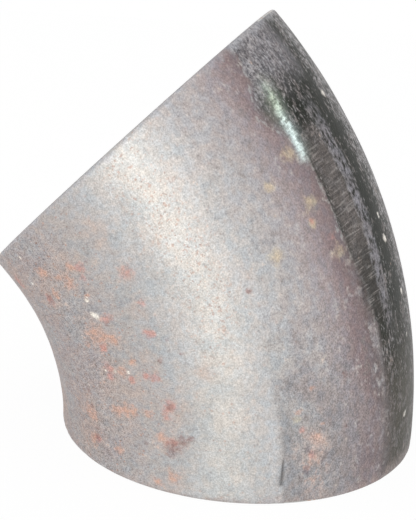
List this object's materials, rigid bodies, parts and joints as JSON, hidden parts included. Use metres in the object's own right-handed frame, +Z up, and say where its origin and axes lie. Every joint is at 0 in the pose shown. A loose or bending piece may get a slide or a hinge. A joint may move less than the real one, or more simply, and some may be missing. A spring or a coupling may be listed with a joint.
{
  "type": "forty-five degree pipe elbow",
  "caption": "Short bent steel tube that turns a pipe run through forty-five degrees, open at both ends, square-cut for butt welding.",
  "frame": {"origin": "centre of the lower end's square-cut face, which the elbow stands on", "axes": "+Z up along the axis of the lower end; the tube bends towards -X in the XZ plane; -Y is the flank that faces the camera"},
  "size_m": [0.0499, 0.0424, 0.0486],
  "materials": {
    "scaled_steel": "semi-matte grey oxide skin with fine grain and light rust"
  },
  "bodies": {
    "root": {"elbow_body": "scaled_steel"}
  },
  "joints": []
}
